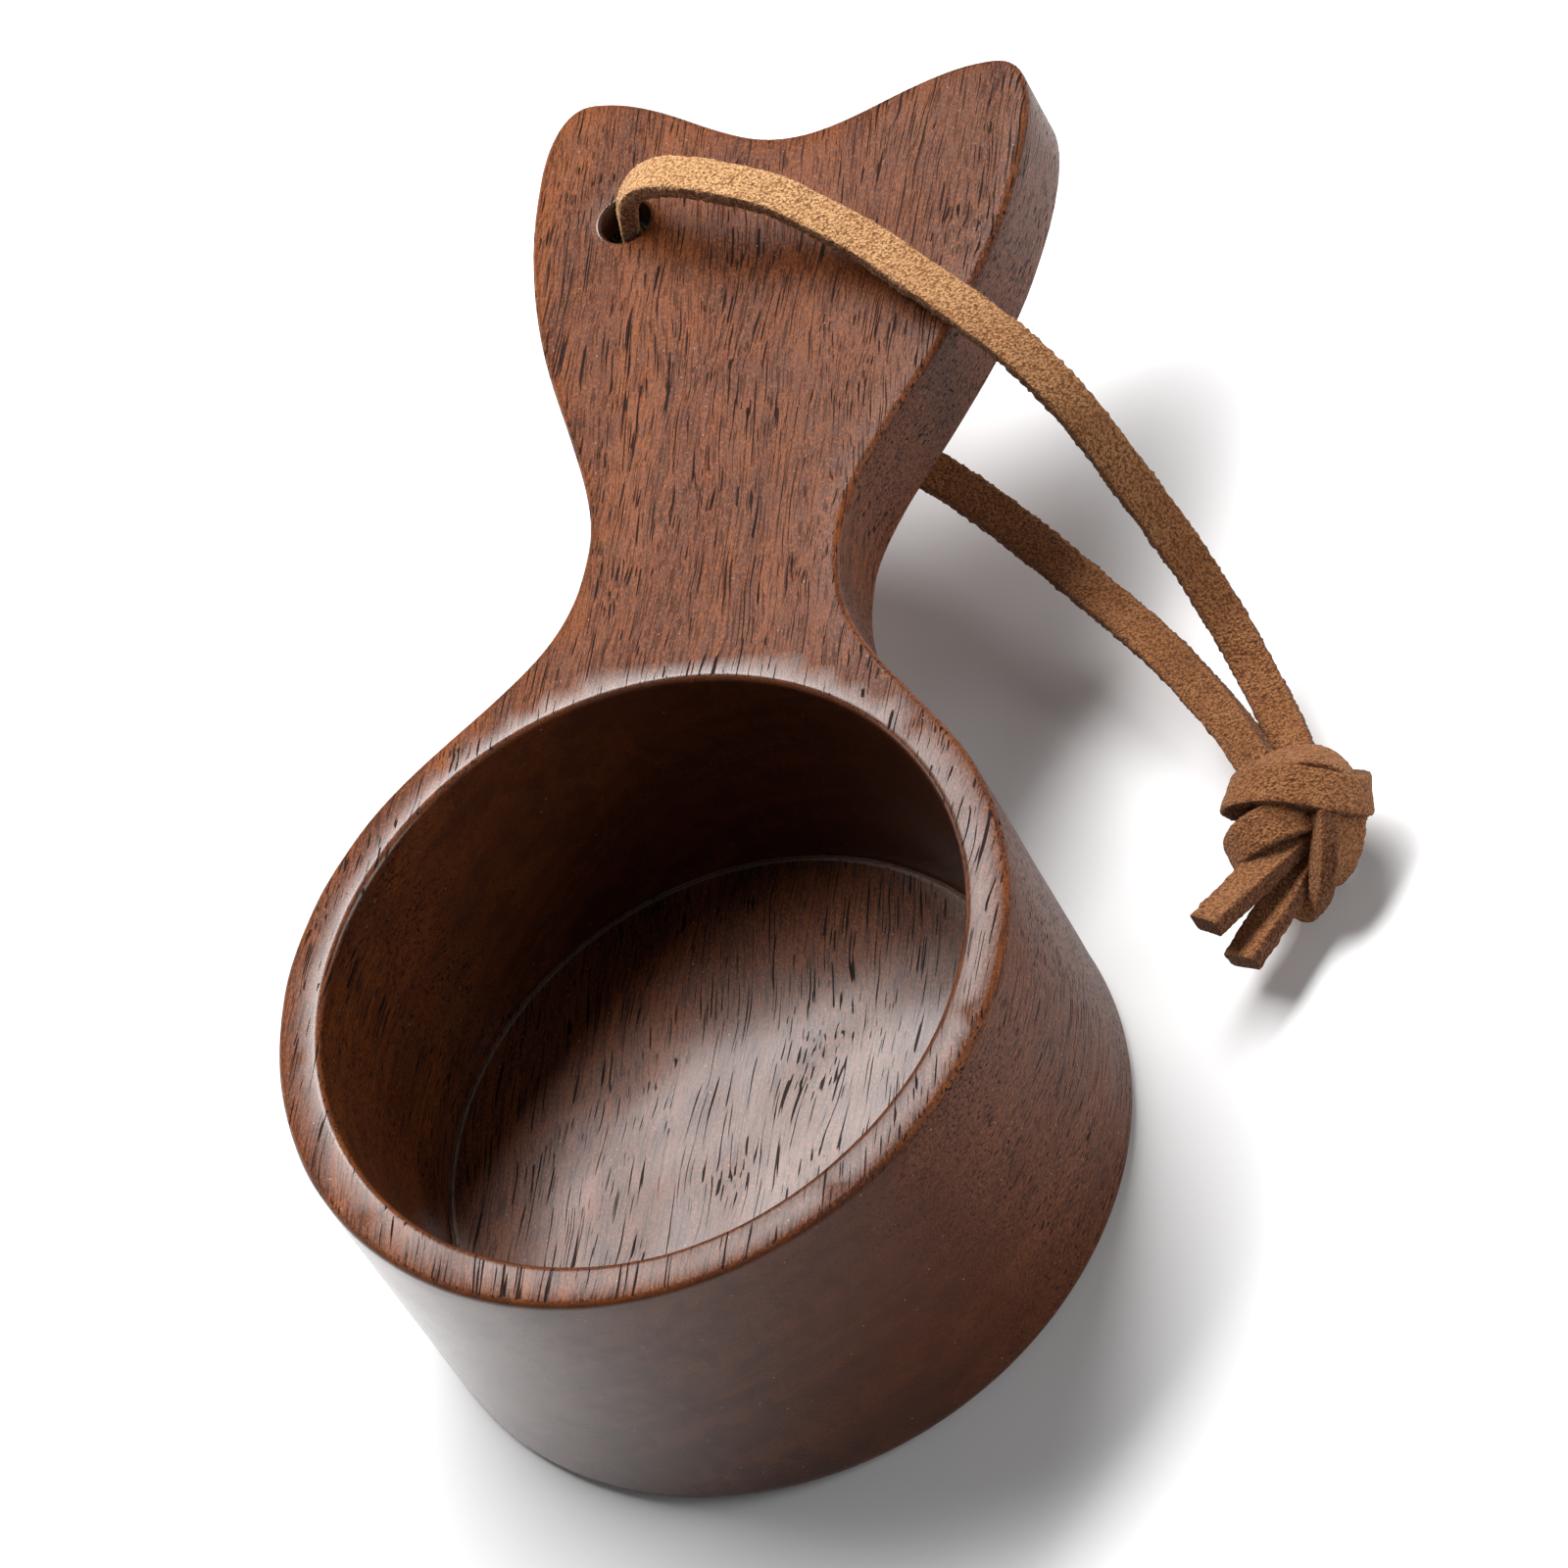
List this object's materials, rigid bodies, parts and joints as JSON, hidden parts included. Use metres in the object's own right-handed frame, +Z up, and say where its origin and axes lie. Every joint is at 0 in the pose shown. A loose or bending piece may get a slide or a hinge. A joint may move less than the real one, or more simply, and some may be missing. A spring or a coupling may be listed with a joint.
{
  "type": "wooden drinking cup",
  "caption": "Round straight-walled wooden cup with a flat fish-tail handle level with its rim, and a knotted suede hanging lace through the handle's hole.",
  "frame": {"origin": "centre of the flat base, on the surface that the cup stands on", "axes": "+Z up along the cup's axis, +Y along the handle towards its tail, +X to the right when the handle points away"},
  "size_m": [0.0985, 0.146, 0.0478],
  "materials": {
    "walnut": "dark brown oiled walnut, satin, open pores along the handle",
    "suede": "tan suede with a short nap on both faces and darker cut edges"
  },
  "bodies": {
    "cup": {"cup_and_handle": "walnut"},
    "lace": {"lace_upper_run": "suede", "lace_lower_run": "suede", "lace_knot": "suede", "lace_first_end": "suede", "lace_second_end": "suede"}
  },
  "joints": [
    {"name": "lace_swing", "type": "hinge", "parent": "cup", "child": "lace", "pos_m": [-0.0162, 0.092, 0.0335], "axis": [0, 0, 1], "range_deg": [-6, 286]}
  ]
}
